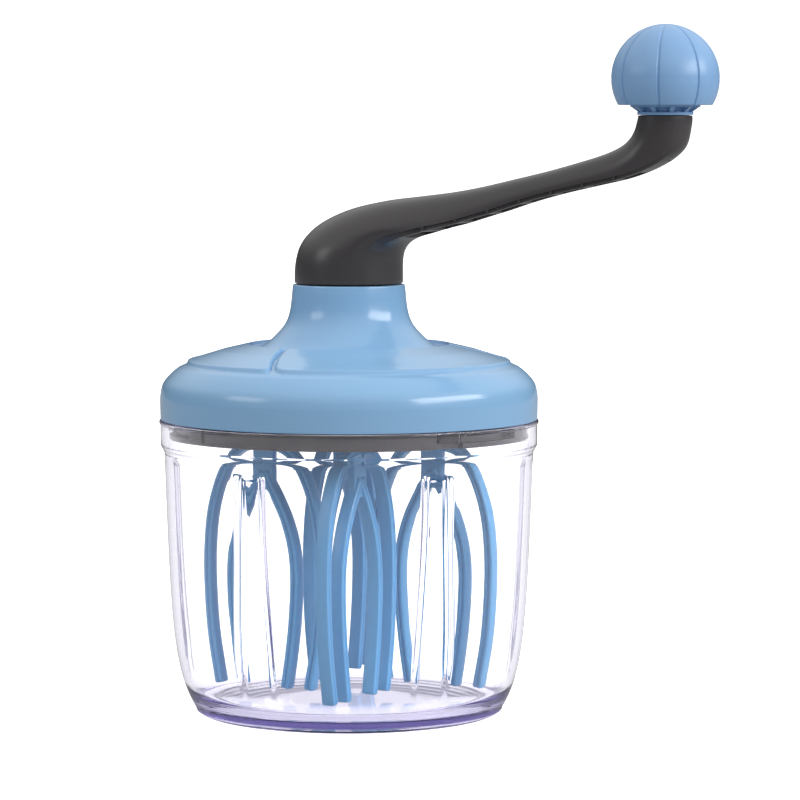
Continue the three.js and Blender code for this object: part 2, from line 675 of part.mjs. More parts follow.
function makeKnobWasher() {
  return tube(AXLE_RADIUS + GAP, 8, 210.8, 211.8);
}

// ---------------------------------------------------------------- materials and assembly

const MATERIALS = {
  clear: { color: 0xe9eaf4, roughness: 0.05, metalness: 0, transparent: true, opacity: 0.35 },
  blue: { color: 0x93bae3, roughness: 0.3, metalness: 0 },
  whisk: { color: 0x7fa9d3, roughness: 0.4, metalness: 0 },
  dark: { color: 0x494648, roughness: 0.4, metalness: 0 },
  gear: { color: 0xe8e6df, roughness: 0.5, metalness: 0 },
  carrier: { color: 0xbfc3c8, roughness: 0.5, metalness: 0 },
  steel: { color: 0xb5b8bc, roughness: 0.3, metalness: 1 },
  silicone: { color: 0xdfe4ea, roughness: 0.7, metalness: 0 },
};

const group = new THREE.Group();
group.name = 'egg_beater';

function addPiece(parent, name, geometry, finish) {
  const mesh = new THREE.Mesh(geometry, new THREE.MeshStandardMaterial(MATERIALS[finish]));
  mesh.name = name;
  parent.add(mesh);
  return mesh;
}

function subGroup(x, y, degrees) {
  const place = new THREE.Group();
  place.position.set(x, y, 0);
  place.rotation.z = degrees * RAD;
  group.add(place);
  return place;
}

addPiece(group, 'cup', makeCup(), 'clear');
addPiece(group, 'seal_ring', makeSeal(), 'silicone');
addPiece(group, 'lid_shell', makeLidShell(), 'blue');
addPiece(group, 'neck_cone', makeNeckCone(), 'blue');
addPiece(group, 'lock_ring', makeLockRing(), 'dark');
addPiece(group, 'ring_gear', makeRingGear(), 'gear');
addPiece(group, 'upper_bush', makeUpperBush(), 'gear');
addPiece(group, 'lower_bush', makeLowerBush(), 'gear');
GEAR_SCREW_ANGLES.forEach((angle, i) => {
  const spot = polar(GEAR_SCREW_RADIUS, angle);
  addPiece(subGroup(spot.x, spot.y, 0), `gear_screw_${i + 1}`, makeGearScrew(), 'steel');
});

addPiece(group, 'carrier_plate', makeCarrierPlate(), 'carrier');
addPiece(group, 'carrier_cover', makeCarrierCover(), 'carrier');
addPiece(group, 'drive_shaft', makeDriveShaft(), 'steel');
addPiece(group, 'drive_bolt', makeDriveBolt(), 'steel');
addPiece(group, 'bolt_washer', makeBoltWasher(), 'steel');
addPiece(group, 'crank_arm', makeCrankArm(), 'dark');

for (let i = 0; i < BEATER_COUNT; i += 1) {
  const post = polar(ORBIT_RADIUS, postAngle(i));
  addPiece(subGroup(post.x, post.y, 0), `carrier_screw_${i + 1}`, makeCarrierScrew(), 'steel');
  const spot = polar(ORBIT_RADIUS, beaterAngle(i));
  const gearPlace = subGroup(spot.x, spot.y, beaterAngle(i));
  addPiece(gearPlace, `planet_gear_${i + 1}`, makePlanetGear(), 'gear');
  const whiskPlace = subGroup(spot.x, spot.y, beaterAngle(i) + WHISK_TURN);
  addPiece(whiskPlace, `spindle_${i + 1}`, makeSpindle(), 'steel');
  addPiece(whiskPlace, `spindle_clip_${i + 1}`, makeSpindleClip(), 'steel');
  addPiece(whiskPlace, `whisk_${i + 1}`, makeWhisk(), 'whisk');
}

const knobPlace = subGroup(CRANK_RADIUS, 0, 0);
addPiece(knobPlace, 'knob_axle', makeKnobAxle(), 'steel');
addPiece(knobPlace, 'knob_washer', makeKnobWasher(), 'steel');
addPiece(knobPlace, 'knob_base', makeKnobBase(), 'blue');
addPiece(knobPlace, 'knob_cap', makeKnobCap(), 'blue');

export default group;
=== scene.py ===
# Looks of the hand-cranked jar beater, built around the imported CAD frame. Blender units are metres.
import json
import math

import bmesh
import bpy
import numpy as np
from mathutils import Matrix, Vector


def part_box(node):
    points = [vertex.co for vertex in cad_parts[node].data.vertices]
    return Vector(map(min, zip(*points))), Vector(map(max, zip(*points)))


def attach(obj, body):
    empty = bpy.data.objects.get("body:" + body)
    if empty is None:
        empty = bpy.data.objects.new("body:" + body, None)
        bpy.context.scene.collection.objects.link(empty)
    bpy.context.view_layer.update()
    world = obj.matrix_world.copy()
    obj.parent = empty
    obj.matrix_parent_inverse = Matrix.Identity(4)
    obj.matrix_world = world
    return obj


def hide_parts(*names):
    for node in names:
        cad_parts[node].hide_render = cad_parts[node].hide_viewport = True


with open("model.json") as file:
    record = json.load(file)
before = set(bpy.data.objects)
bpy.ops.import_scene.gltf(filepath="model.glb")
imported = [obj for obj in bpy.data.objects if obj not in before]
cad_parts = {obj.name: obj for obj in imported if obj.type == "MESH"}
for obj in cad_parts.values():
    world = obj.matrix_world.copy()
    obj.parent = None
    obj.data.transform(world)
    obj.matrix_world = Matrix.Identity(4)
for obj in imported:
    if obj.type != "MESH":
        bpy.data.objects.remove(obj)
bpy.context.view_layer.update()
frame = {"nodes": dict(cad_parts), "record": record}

MM = 0.001
TAU = 2 * math.pi
GAP = 0.3  # clearance round a piece that sits in a hole, in millimetres

# ------------------------------------------------------------------ sizes, read from the frame
CUP_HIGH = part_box("cup")[1]
LID_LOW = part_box("lid_shell")[0]
NECK_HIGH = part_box("neck_cone")[1]
LOCK_LOW, LOCK_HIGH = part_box("lock_ring")
ARM_LOW, ARM_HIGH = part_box("crank_arm")
CAP_LOW, CAP_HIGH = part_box("knob_cap")
BASE_LOW, BASE_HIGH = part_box("knob_base")
JOINTS = {joint["name"]: joint for joint in frame["record"]["behaviour"]["joints"]}

LIP_RADIUS = CUP_HIGH.x / MM
RIM_Z = CUP_HIGH.z / MM
LID_BOTTOM_Z = LID_LOW.z / MM
NECK_TOP_Z = NECK_HIGH.z / MM
LOCK_RADIUS = LOCK_HIGH.x / MM
LOCK_BOTTOM_Z = LOCK_LOW.z / MM
KNOB_X = JOINTS["knob_spin"]["pos_m"][0] / MM
KNOB_RADIUS = CAP_HIGH.x / MM - KNOB_X
KNOB_CENTRE_Z = CAP_HIGH.z / MM - KNOB_RADIUS
KNOB_CUT_Z = CAP_LOW.z / MM  # the flat underside of the ball
ARM_BOTTOM_Z, ARM_END_Z = ARM_LOW.z / MM, ARM_HIGH.z / MM
BEATERS = [(i, Vector(JOINTS[f"beater_{i}_spin"]["pos_m"]) / MM) for i in range(1, 5)]

# Directions round the jar, in degrees from the crank arm's heading
FLUTE_ANGLES = [20 + 60 * k for k in range(6)]
LUG_ANGLES = [-36 + 120 * k for k in range(3)]
WHISK_TURN = -34.5  # the plane of a whisk, from its own direction out of the middle

# ------------------------------------------------------------------ mesh helpers


def new_object(name, verts, faces, sharp_degrees=32):
    """A smooth-shaded mesh in metres from points in millimetres, with sharp edges where faces fold."""
    mesh = bpy.data.meshes.new(name)
    mesh.from_pydata((np.asarray(verts, float) * MM).tolist(), [], faces)
    mesh.validate()
    piece = bpy.data.objects.new(name, mesh)
    bpy.context.collection.objects.link(piece)
    tidy(piece, sharp_degrees)
    return piece


def tidy(piece, sharp_degrees=32):
    """Merges doubles, turns faces outwards and marks folds sharper than the angle."""
    bm = bmesh.new()
    bm.from_mesh(piece.data)
    bmesh.ops.remove_doubles(bm, verts=bm.verts, dist=0.004 * MM)
    bmesh.ops.dissolve_degenerate(bm, edges=bm.edges, dist=0.002 * MM)
    bmesh.ops.recalc_face_normals(bm, faces=bm.faces)
    limit = math.radians(sharp_degrees)
    for face in bm.faces:
        face.smooth = True
    for edge in bm.edges:
        edge.smooth = len(edge.link_faces) == 2 and edge.calc_face_angle(0) < limit
    bm.to_mesh(piece.data)
    bm.free()


def skin(rings, closed=False):
    """Vertices and quads over rings of equal length; open stacks are capped with a fan at each end."""
    rings = np.asarray(rings, float)
    rows, cols = rings.shape[:2]
    verts = rings.reshape(-1, 3)
    faces = []
    for row in range(rows if closed else rows - 1):
        below, above = row * cols, (row + 1) % rows * cols
        for i in range(cols):
            j = (i + 1) % cols
            faces.append((below + i, below + j, above + j, above + i))
    if not closed:
        centres = [rings[0].mean(0), rings[-1].mean(0)]
        verts = np.vstack([verts, centres])
        for k, start in enumerate((0, (rows - 1) * cols)):
            for i in range(cols):
                faces.append((start + i, start + (i + 1) % cols, rows * cols + k))
    return verts, faces


def rounded(corners, closed=True, step=12):
    """An outline of (r, z, fillet) corners with each fillet drawn as an arc."""
    points = [Vector(corner[:2]) for corner in corners]
    out = []
    for i, corner in enumerate(corners):
        here = points[i]
        fillet = corner[2] if len(corner) > 2 else 0
        if fillet <= 0 or (not closed and i in (0, len(corners) - 1)):
            out.append(tuple(here))
            continue
        before, after = points[i - 1] - here, points[(i + 1) % len(points)] - here
        turn = before.angle(after)
        if turn > math.pi - 0.02:
            out.append(tuple(here))
            continue
        reach = min(fillet / math.tan(turn / 2), 0.48 * before.length, 0.48 * after.length)
        radius = reach * math.tan(turn / 2)
        middle = (before.normalized() + after.normalized()).normalized() * radius / math.sin(turn / 2)
        start, end = before.normalized() * reach - middle, after.normalized() * reach - middle
        count = max(2, math.ceil(math.degrees(math.pi - turn) / step))
        for k in range(count + 1):
            out.append(tuple(here + middle + start.slerp(end, k / count).normalized() * radius))
    return out


def refined(outline, longest, closed=True):
    """Splits the long sides of an outline."""
    out = []
    last = len(outline) if closed else len(outline) - 1
    for i in range(last):
        a, b = Vector(outline[i]), Vector(outline[(i + 1) % len(outline)])
        count = max(1, math.ceil((b - a).length / longest))
        out.extend(tuple(a.lerp(b, k / count)) for k in range(count))
    if not closed:
        out.append(tuple(outline[-1]))
    return out


def spline(points, count):
    """A Catmull-Rom curve through points of any dimension, evenly spread over its length."""
    pts = np.asarray(points, float)
    pts = np.vstack([2 * pts[0] - pts[1], pts, 2 * pts[-1] - pts[-2]])
    fine = []
    for i in range(1, len(pts) - 2):
        p0, p1, p2, p3 = pts[i - 1:i + 3]
        for t in np.linspace(0, 1, 24, endpoint=False):
            fine.append(0.5 * (2 * p1 + (p2 - p0) * t + (2 * p0 - 5 * p1 + 4 * p2 - p3) * t ** 2
                               + (3 * p1 - p0 - 3 * p2 + p3) * t ** 3))
    fine = np.vstack([fine, pts[-2]])
    length = np.concatenate([[0], np.cumsum(np.linalg.norm(np.diff(fine, axis=0), axis=1))])
    at = np.linspace(0, length[-1], count)
    return np.stack([np.interp(at, length, fine[:, k]) for k in range(fine.shape[1])], axis=1)


def smoothstep(low, high, x):
    t = np.clip((np.asarray(x, float) - low) / (high - low), 0, 1)
    return t * t * (3 - 2 * t)


def turned(name, outline, segments=180, centre=(0, 0), shape=None, angles=None, closed=True):
    """Turns an (r, z) outline about a vertical axis. shape(r, z, degrees) may change each ring."""
    degrees = np.linspace(0, 360, segments, endpoint=False) if angles is None else np.asarray(angles)
    rings = []
    for r, z in outline:
        radius, height = np.full(len(degrees), r), np.full(len(degrees), z)
        if shape:
            radius, height = shape(radius, height, degrees)
        turn = np.radians(degrees)
        across, along = centre[0] + radius * np.cos(turn), centre[1] + radius * np.sin(turn)
        rings.append(np.stack([across, along, height], 1))
    return new_object(name, *skin(rings, closed))


def away_from(centres, degrees):
    """The angle from each direction to the nearest of the centres."""
    return np.min([np.abs((degrees - c + 180) % 360 - 180) for c in centres], axis=0)


def fine_angles(centres, reach, fine, coarse):
    """Angles round a circle, close together near the centres and wider apart between them."""
    marks = []
    angle = 0.0
    while angle < 359.99:
        marks.append(angle)
        angle += fine if away_from(centres, angle) < reach + coarse else coarse
    return marks


def boolean(piece, tools, operation="DIFFERENCE"):
    """Applies each tool to the piece, and removes the tools."""
    for tool in tools:
        modifier = piece.modifiers.new("cut", "BOOLEAN")
        modifier.operation = operation
        modifier.solver = "EXACT"
        modifier.object = tool
    bpy.context.view_layer.update()
    mesh = bpy.data.meshes.new_from_object(piece.evaluated_get(bpy.context.evaluated_depsgraph_get()))
    piece.modifiers.clear()
    piece.data = mesh
    for tool in tools:
        bpy.data.objects.remove(tool)
    return piece


def block(name, outline, low, high, axis):
    """Extrudes a flat outline of (a, b) points along y or z, between two heights."""
    place = {"y": lambda a, b, h: (a, h, b), "z": lambda a, b, h: (a, b, h)}[axis]
    count = len(outline)
    verts = [place(a, b, h) for h in (low, high) for a, b in outline]
    faces = [tuple(range(count)), tuple(range(count, 2 * count))]
    for i in range(count):
        j = (i + 1) % count
        faces.append((i, j, count + j, count + i))
    return new_object(name, verts, faces)


def polygon(radius, sides, centre=(0, 0), turn=0):
    return [(centre[0] + radius * math.cos(TAU * k / sides + turn),
             centre[1] + radius * math.sin(TAU * k / sides + turn)) for k in range(sides)]


# ------------------------------------------------------------------ materials


def shader_nodes(name):
    material = bpy.data.materials.new(name)
    material.use_nodes = True
    tree = material.node_tree
    return material, tree, tree.nodes["Principled BSDF"]


def add(tree, kind, **values):
    node = tree.nodes.new(kind)
    for key, value in values.items():
        if key in node.inputs:
            node.inputs[key].default_value = value
        else:
            setattr(node, key, value)
    return node


def smooth_between(tree, value, start, end, low, high, kind="SMOOTHSTEP"):
    """Maps a value that runs from start to end onto low to high, and holds it outside."""
    remap = add(tree, "ShaderNodeMapRange", interpolation_type=kind)
    for key, number in (("From Min", start), ("From Max", end), ("To Min", low), ("To Max", high)):
        remap.inputs[key].default_value = number
    tree.links.new(value, remap.inputs["Value"])
    return remap.outputs["Result"]


def noise_between(tree, scale, low, high, detail=3.0):
    """A noise that runs between two values, for roughness."""
    coord = add(tree, "ShaderNodeTexCoord")
    noise = add(tree, "ShaderNodeTexNoise", Scale=scale, Detail=detail)
    remap = add(tree, "ShaderNodeMapRange")
    remap.inputs["To Min"].default_value = low
    remap.inputs["To Max"].default_value = high
    tree.links.new(coord.outputs["Object"], noise.inputs["Vector"])
    tree.links.new(noise.outputs["Fac"], remap.inputs["Value"])
    return remap.outputs["Result"]


def tinted_noise(tree, scale, dark, light, detail=2.0):
    """A colour that drifts between two close tints, as a moulded plastic's does."""
    coord = add(tree, "ShaderNodeTexCoord")
    noise = add(tree, "ShaderNodeTexNoise", Scale=scale, Detail=detail)
    ramp = add(tree, "ShaderNodeValToRGB")
    ramp.color_ramp.elements[0].color = (*dark, 1)
    ramp.color_ramp.elements[1].color = (*light, 1)
    tree.links.new(coord.outputs["Object"], noise.inputs["Vector"])
    tree.links.new(noise.outputs["Fac"], ramp.inputs["Fac"])
    return ramp.outputs["Color"]


def grain(tree, shader, layers):
    """Chains bump layers of (scale, strength, distance in metres) into the shader's normal."""
    coord = add(tree, "ShaderNodeTexCoord")
    normal = None
    for scale, strength, distance in layers:
        noise = add(tree, "ShaderNodeTexNoise", Scale=scale, Detail=2.0)
        bump = add(tree, "ShaderNodeBump", Strength=strength, Distance=distance)
        tree.links.new(coord.outputs["Object"], noise.inputs["Vector"])
        tree.links.new(noise.outputs["Fac"], bump.inputs["Height"])
        if normal:
            tree.links.new(normal, bump.inputs["Normal"])
        normal = bump.outputs["Normal"]
    tree.links.new(normal, shader.inputs["Normal"])


def moulded(name, dark, light, rough, layers, coat=0.0):
    """A moulded plastic: drifting tint, uneven gloss and a faint grain."""
    material, tree, shader = shader_nodes(name)
    tree.links.new(tinted_noise(tree, 28, dark, light), shader.inputs["Base Color"])
    tree.links.new(noise_between(tree, 90, *rough), shader.inputs["Roughness"])
    shader.inputs["IOR"].default_value = PLASTIC_IOR
    shader.inputs["Coat Weight"].default_value = coat
    shader.inputs["Coat Roughness"].default_value = 0.08
    grain(tree, shader, layers)
    return material


def clear_plastic():
    """Clear polished plastic: thick edges pick up a violet tint, and lamps shine through."""
    material, tree, shader = shader_nodes("clear_plastic")
    coord = add(tree, "ShaderNodeTexCoord")
    parts = add(tree, "ShaderNodeSeparateXYZ")
    tint = add(tree, "ShaderNodeValToRGB")
    tint.color_ramp.elements[0].color = (0.88, 0.84, 0.97, 1)
    tint.color_ramp.elements[1].color = (0.99, 0.99, 1.0, 1)
    tree.links.new(coord.outputs["Object"], parts.inputs["Vector"])
    tint_at = smooth_between(tree, parts.outputs["Z"], FOOT_TINT_LOW, FOOT_TINT_HIGH, 0, 1)
    tree.links.new(tint_at, tint.inputs["Fac"])
    tree.links.new(tint.outputs["Color"], shader.inputs["Base Color"])
    shader.inputs["Roughness"].default_value = 0.0
    shader.inputs["IOR"].default_value = PLASTIC_IOR
    shader.inputs["Transmission Weight"].default_value = 1.0
    grain(tree, shader, [POLISH_WAVES])
    path = add(tree, "ShaderNodeLightPath")
    open_way = add(tree, "ShaderNodeBsdfTransparent")
    open_way.inputs["Color"].default_value = (0.96, 0.96, 0.98, 1)
    mix = add(tree, "ShaderNodeMixShader")
    output = tree.nodes["Material Output"]
    tree.links.new(path.outputs["Is Shadow Ray"], mix.inputs["Fac"])
    tree.links.new(shader.outputs["BSDF"], mix.inputs[1])
    tree.links.new(open_way.outputs["BSDF"], mix.inputs[2])
    tree.links.new(mix.outputs["Shader"], output.inputs["Surface"])
    volume = add(tree, "ShaderNodeVolumeAbsorption", Density=EDGE_TINT_DENSITY)
    volume.inputs["Color"].default_value = EDGE_TINT
    tree.links.new(volume.outputs["Volume"], output.inputs["Volume"])
    return material


def brushed(name, colour, rough):
    """Turned steel, streaked round the vertical axis by a stretched noise."""
    material, tree, shader = shader_nodes(name)
    shader.inputs["Metallic"].default_value = 1.0
    tree.links.new(tinted_noise(tree, 60, [c * 0.9 for c in colour], colour), shader.inputs["Base Color"])
    coord = add(tree, "ShaderNodeTexCoord")
    stretch = add(tree, "ShaderNodeMapping")
    stretch.inputs["Scale"].default_value = (20, 20, 900)
    noise = add(tree, "ShaderNodeTexNoise", Scale=4.0, Detail=3.0)
    remap = add(tree, "ShaderNodeMapRange")
    remap.inputs["To Min"].default_value, remap.inputs["To Max"].default_value = rough
    tree.links.new(coord.outputs["Object"], stretch.inputs["Vector"])
    tree.links.new(stretch.outputs["Vector"], noise.inputs["Vector"])
    tree.links.new(noise.outputs["Fac"], remap.inputs["Value"])
    tree.links.new(remap.outputs["Result"], shader.inputs["Roughness"])
    return material


# Bump layers: the noise's scale, the strength, and the height in metres
FINE_GRAIN = (2600, 0.05, 0.03 * MM)
ORANGE_PEEL = (260, 0.04, 0.12 * MM)
POLISH_WAVES = (35, 0.02, 0.2 * MM)

PLASTIC_IOR = 1.5
FOOT_TINT_LOW, FOOT_TINT_HIGH = 2 * MM, 4.2 * MM  # the jar's surface is tinted below these heights
EDGE_TINT, EDGE_TINT_DENSITY = (0.50, 0.45, 0.74, 1), 36.0  # what thick plastic does to light, per metre

CLEAR = clear_plastic()
BLUE = moulded("sky_blue_gloss", (0.255, 0.475, 0.74), (0.268, 0.49, 0.755), (0.16, 0.22),
               [ORANGE_PEEL], coat=0.15)
KNOB_BLUE = moulded("sky_blue_satin", (0.225, 0.412, 0.69), (0.24, 0.43, 0.705), (0.3, 0.38),
                    [ORANGE_PEEL, FINE_GRAIN])
WHISK_BLUE = moulded("whisk_blue", (0.135, 0.46, 0.80), (0.15, 0.48, 0.82), (0.3, 0.4),
                     [ORANGE_PEEL, FINE_GRAIN])
DARK = moulded("dark_grey_satin", (0.044, 0.040, 0.043), (0.054, 0.049, 0.052), (0.26, 0.34),
               [ORANGE_PEEL, FINE_GRAIN])
NYLON = moulded("natural_acetal", (0.72, 0.71, 0.66), (0.80, 0.79, 0.74), (0.4, 0.5), [FINE_GRAIN])
CARRIER_GREY = moulded("carrier_grey", (0.50, 0.52, 0.55), (0.56, 0.58, 0.61), (0.4, 0.5), [FINE_GRAIN])
SILICONE = moulded("white_silicone", (0.70, 0.73, 0.76), (0.78, 0.81, 0.84), (0.5, 0.6), [FINE_GRAIN])
STEEL = brushed("turned_steel", (0.56, 0.57, 0.58), (0.22, 0.38))


def finish_piece(piece, material, body, slot, *nodes):
    """Gives a piece its material and the body it moves with, and hides the CAD nodes it stands for. The slot
    is not used.
    """
    piece.data.materials.clear()
    piece.data.materials.append(material)
    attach(piece, body)
    if nodes:
        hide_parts(*nodes)
    return piece


# ------------------------------------------------------------------ jar

CUP_WALL = 2.3
CUP_MOUTH_RADIUS = 58.38  # of the drafted wall carried down to z = 0
CUP_DRAFT = 0.033  # growth of the radius per millimetre of height
CUP_CORNER_DROP, CUP_CORNER_HEIGHT = 8.6, 12.5
UNDERSIDE_Z = 2.2  # the recess inside the foot ring
COLLAR_RADIUS = 62.5
COLLAR_FOOT_Z = 87.0
FLUTE_DEPTH = 1.5
FLUTE_SLOPE = 3.0  # width of a flute's sloping side
FLUTE_TOP_HALF, FLUTE_WIDENING = 5.7, 2.0
FLUTE_MEAN_RADIUS = 59.5
FLUTE_EDGE_OFFSET = 1.35  # in jar_ring, just outside a flute's edge
FLUTE_GAP_OFFSET = 5.0  # in jar_ring, midway to the next flute
LUG_REACH, LUG_ROOT = 57.8, 61.2
LUG_HALF = 3.9
LUG_BOTTOM_Z, LUG_TOP_Z = 94.0, 97.0


def cup_radius(z):
    """The drafted outer wall with its rounded bottom corner, as in the CAD."""
    return CUP_MOUTH_RADIUS + CUP_DRAFT * z - CUP_CORNER_DROP * math.exp(-z / CUP_CORNER_HEIGHT)


def flute_half(z):
    """Half the width of a flute, which widens downwards."""
    return FLUTE_TOP_HALF + FLUTE_WIDENING * (1 - float(smoothstep(14, 74, z)))


def jar_ring(r, z, offsets):
    """One ring of the jar. An offset is 0 in the middle of a flute and 1 at its edge, so the columns
    spread with the flutes and their edges stay crisp."""
    half = math.degrees(flute_half(z) / FLUTE_MEAN_RADIUS)
    edge, gap = half * FLUTE_EDGE_OFFSET, 180 / len(FLUTE_ANGLES)
    spread = (gap - edge) / (FLUTE_GAP_OFFSET - FLUTE_EDGE_OFFSET)
    depth = FLUTE_DEPTH * float(smoothstep(9, 27, z) * (1 - smoothstep(81.4, 84.4, z)))
    start = 1 - FLUTE_SLOPE / flute_half(z)
    fluted = r > 53 and z < RIM_Z - 8
    ring = []
    for centre in FLUTE_ANGLES:
        for t in offsets:
            far = abs(t)
            angle = far * half if far < FLUTE_EDGE_OFFSET else edge + (far - FLUTE_EDGE_OFFSET) * spread
            inward = depth * (1 - float(smoothstep(start, 1, far))) if fluted else 0
            turn = math.radians(centre + math.copysign(angle, t))
            ring.append(((r - inward) * math.cos(turn), (r - inward) * math.sin(turn), z))
    return ring


def make_jar():
    """The clear jar, round which the outline runs from the underside, up outside and down inside."""
    corner = [1.9, 2.7, 3.6, 4.6, 5.7, 7]
    wall = [8.4, 10, *np.arange(11.5, 28, 1.5), *np.arange(30, 80, 5.0), *np.arange(80.6, 85.2, 0.28), 86.2]
    collar_bore_foot = cup_radius(COLLAR_FOOT_Z) - CUP_WALL
    outline = [
        (20, UNDERSIDE_Z), (43.2, UNDERSIDE_Z), (44.3, 2.0), (45.0, 1.4), (45.3, 0.5), (45.8, 0.08),
        (46.6, 0), (48.0, 0.06), (49.2, 0.3), (50.2, 0.72), (51.0, 1.25),
        *[(cup_radius(z), z) for z in corner + wall],
        *rounded([(cup_radius(COLLAR_FOOT_Z), COLLAR_FOOT_Z, 0.5), (61.9, 88.2, 0.6),
                  (COLLAR_RADIUS, 89.4, 0.6), (COLLAR_RADIUS, 96.3, 0.2), (LIP_RADIUS, 96.6, 0.15),
                  (LIP_RADIUS, RIM_Z, 0.4), (60.35, RIM_Z, 0.4), (60.25, 89.8, 0.6),
                  (collar_bore_foot, COLLAR_FOOT_Z, 0.8)], closed=False),
        *[(cup_radius(z) - CUP_WALL, z) for z in reversed(wall[1:])],
        (51.9, 8.7), (51.0, 7.4), (49.7, 6.3), (48.0, 5.4), (46.0, 4.85), (43.5, 4.6), (40, 4.5), (20, 4.45),
    ]
    side = [0, 0.25, 0.45, *np.arange(0.52, 1.045, 0.025), 1.1, 1.2, FLUTE_EDGE_OFFSET,
            1.8, 2.4, 3.0, 3.6, 4.3]
    offsets = [-FLUTE_GAP_OFFSET] + [-t for t in reversed(side[1:])] + side
    jar = new_object("jar", *skin([jar_ring(r, z, offsets) for r, z in outline]), sharp_degrees=40)
    lug_outline = rounded([(LUG_REACH, -LUG_HALF, 0.5), (LUG_ROOT, -LUG_HALF, 0), (LUG_ROOT, LUG_HALF, 0),
                           (LUG_REACH, LUG_HALF, 0.5)])
    lugs = []
    for k, angle in enumerate(LUG_ANGLES):
        lug = block(f"lug_tool_{k}", lug_outline, LUG_BOTTOM_Z, LUG_TOP_Z, "z")
        lug.data.transform(Matrix.Rotation(math.radians(angle), 4, "Z"))
        lugs.append(lug)
    boolean(jar, lugs, "UNION")
    tidy(jar, 40)
    return finish_piece(jar, CLEAR, "cup", "clear_cup", "cup")


# ------------------------------------------------------------------ lid, neck and lock ring

LID_RADIUS = 62.5
LID_SHOULDER_Z = 98.8  # where the skirt's side starts to bulge
PANEL_OUTER, PANEL_INNER = 53.6, 32.9
PANEL_RISE = 1.25
PANEL_CORNER = 3.2
GROOVE_ANGLES = [-101 + 120 * k for k in range(3)]
GROOVE_SLANT = 12.0  # degrees that a groove leans over between its inner and outer end
GROOVE_HALF = 0.85


def dome_height(r):
    """The lid's top between the shoulder and the neck, under its raised panels."""
    return np.interp(r, [29, 33, 42, 50, 54, 56], [121.8, 121.55, 119.45, 117.0, 115.95, 115.1])


def panel_mask(radius, degrees):
    """1 on a raised panel, 0 in a groove or off the panels, with rounded corners."""
    lean = GROOVE_SLANT * (radius - (PANEL_OUTER + PANEL_INNER) / 2) / (PANEL_OUTER - PANEL_INNER)
    offset = away_from(GROOVE_ANGLES, degrees - lean)
    side = offset * math.pi / 180 * radius * 0.9 - GROOVE_HALF
    rim = PANEL_OUTER - radius
    a, b = np.minimum(side - PANEL_CORNER, 0), np.minimum(rim - PANEL_CORNER, 0)
    inside = PANEL_CORNER - np.hypot(a, b)
    inside = np.where((side > PANEL_CORNER) & (rim > PANEL_CORNER), np.minimum(side, rim), inside)
    inside = np.minimum(inside, radius - PANEL_INNER)
    return smoothstep(-0.35, 0.45, inside)


def make_lid():
    """The domed lid, hollow underneath, with a ring of wall that holds the ring gear."""
    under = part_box("ring_gear")[1].x / MM + 0.4
    shoulder = spline([(LID_RADIUS, LID_SHOULDER_Z), (62.6, 103), (LID_RADIUS, 106), (61.6, 109.6),
                       (59.2, 112.6), (56.6, 114.8)], 30)
    top_r = [55.6, 55.0, 54.5, *np.arange(54.2, 49.8, -0.22), *np.arange(49.6, 34.2, -0.6),
             *np.arange(34.0, 31.8, -0.2)]
    top = [(r, float(dome_height(r))) for r in top_r]
    outline = [
        *rounded([(61.9, LID_BOTTOM_Z, 0), (LID_RADIUS, LID_BOTTOM_Z, 0.35), (LID_RADIUS, LID_SHOULDER_Z, 0)],
                 closed=False),
        *shoulder,
        *top,
        *rounded([(31.4, 121.5, 0.3), (30.6, 120.6, 0.3), (29.95, 120.6, 0.2), (29.95, 119.0, 0),
                  (41, 117.2, 0), (43.5, 116.2, 0), (43.5, 107.8, 0.3), (under, 107.8, 0), (under, 98.6, 0.3),
                  (under + 2.0, 98.6, 0.3), (under + 2.0, 112.6, 1), (56.8, 110.6, 1), (59.1, 107, 1),
                  (59.1, 99.3, 0), (61.7, 99.3, 0), (61.7, LID_BOTTOM_Z, 0.1)], closed=False),
    ]
    dome_foot = dome_height(56.3) - 0.2

    def shape(radius, height, degrees):
        if height[0] > dome_foot and radius[0] > 31.6:
            height = height + PANEL_RISE * panel_mask(radius, degrees)
        return radius, height

    lid = turned("lid_dome", outline, angles=fine_angles(GROOVE_ANGLES, 16, 0.42, 2.0), shape=shape)
    return finish_piece(lid, BLUE, "lid", "blue_plastic", "lid_shell")


SLEEVE_BORE, SLEEVE_RADIUS = 8.5, 11


def make_neck():
    """The flared neck with the sleeve that holds the bushes."""
    flare = spline([(29.4, 121.6), (27.3, 122.9), (24.9, 124.9), (22.1, 127.9), (20.6, 130.3), (19.7, 133.0),
                    (19.2, 136.0), (18.85, 139.5), (18.6, NECK_TOP_Z - 0.7)], 40)
    inside = [(r - 2.2, z - 0.6) for r, z in flare[::-4]]
    outline = [
        *rounded([(27.2, 119.2, 0), (29.5, 119.2, 0.3), (29.5, 121.0, 0)], closed=False),
        *flare,
        *rounded([(18.6, NECK_TOP_Z - 0.7, 0), (18.5, NECK_TOP_Z, 0.9), (SLEEVE_BORE, NECK_TOP_Z, 0.3),
                  (SLEEVE_BORE, 120, 0.3), (SLEEVE_RADIUS, 120, 0.3), (SLEEVE_RADIUS, 140, 0.5),
                  (15.9, 140, 0.5)], closed=False)[1:],
        *inside[1:],
    ]
    neck = turned("neck", outline, segments=160)
    return finish_piece(neck, BLUE, "lid", "blue_plastic", "neck_cone")


LOCK_BORE, LOCK_TOP_Z = 53, 97.3
LOCK_SPIGOT_BORE, LOCK_SPIGOT_RADIUS, LOCK_SPIGOT_Z = 56.5, 58.8, 103
LOCK_SLOT_RADIUS = 57.2
LOCK_SLOT_TOP_Z = 97.2
RELIEF_DEPTH = 0.5


